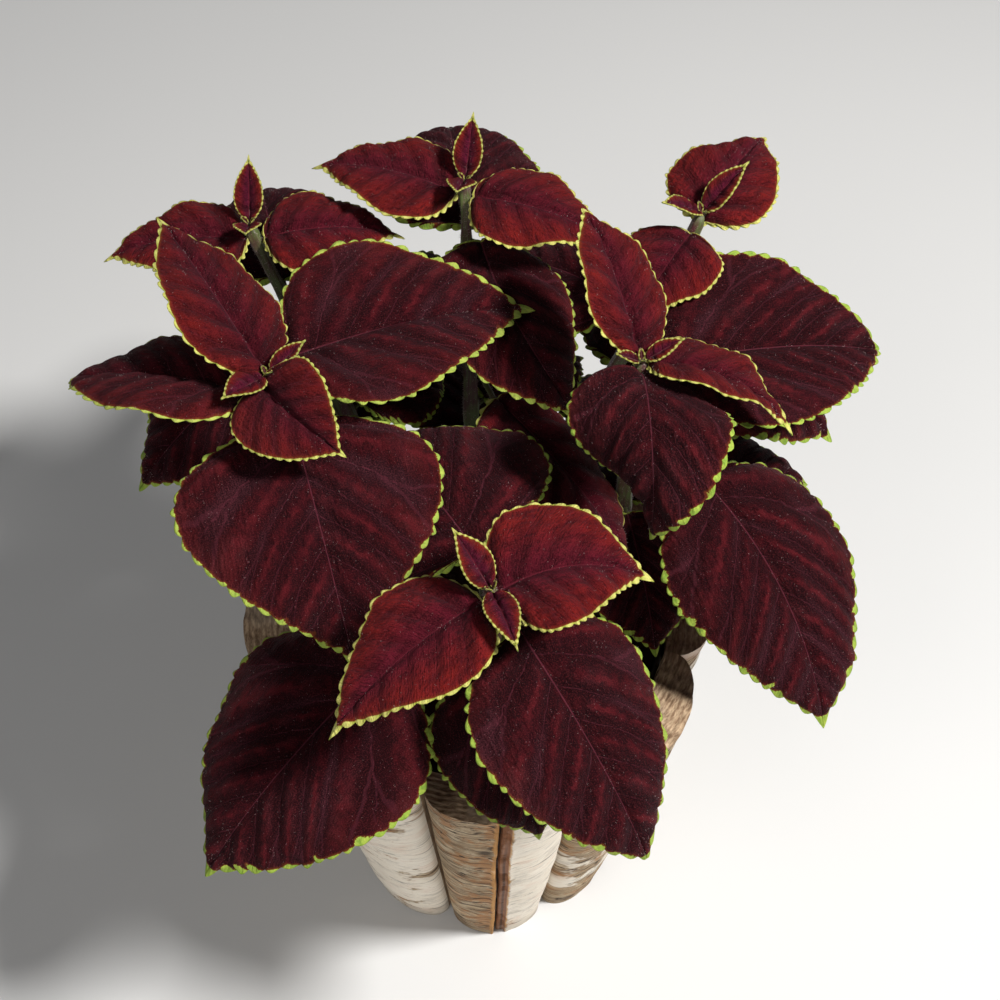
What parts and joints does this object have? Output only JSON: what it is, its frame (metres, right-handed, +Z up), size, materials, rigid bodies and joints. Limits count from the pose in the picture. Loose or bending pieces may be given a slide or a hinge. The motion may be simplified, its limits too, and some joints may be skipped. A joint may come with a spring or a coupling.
{
  "type": "potted coleus",
  "caption": "Bushy coleus plant with broad toothed dark red leaves on square stems, rooted in a round tapered planter clad in half-round birch slabs.",
  "frame": {"origin": "centre of the planter's underside, on the surface it stands on", "axes": "+Z up along the planter's axis, -Y towards the front, +X to the right seen from the front"},
  "size_m": [0.3194, 0.3256, 0.37],
  "materials": {
    "liner": "matte",
    "soil": "matte",
    "birch": "matte",
    "leaf": "satin"
  },
  "bodies": {
    "root": {"liner": "liner", "soil": "soil", "birch_slab_1": "birch", "birch_slab_2": "birch", "birch_slab_3": "birch", "birch_slab_4": "birch", "birch_slab_5": "birch", "birch_slab_6": "birch", "birch_slab_7": "birch", "birch_slab_8": "birch", "shoot_front": "leaf", "shoot_left": "leaf", "shoot_right": "leaf", "shoot_back": "leaf", "shoot_back_left": "leaf", "shoot_back_right": "leaf"}
  },
  "joints": []
}
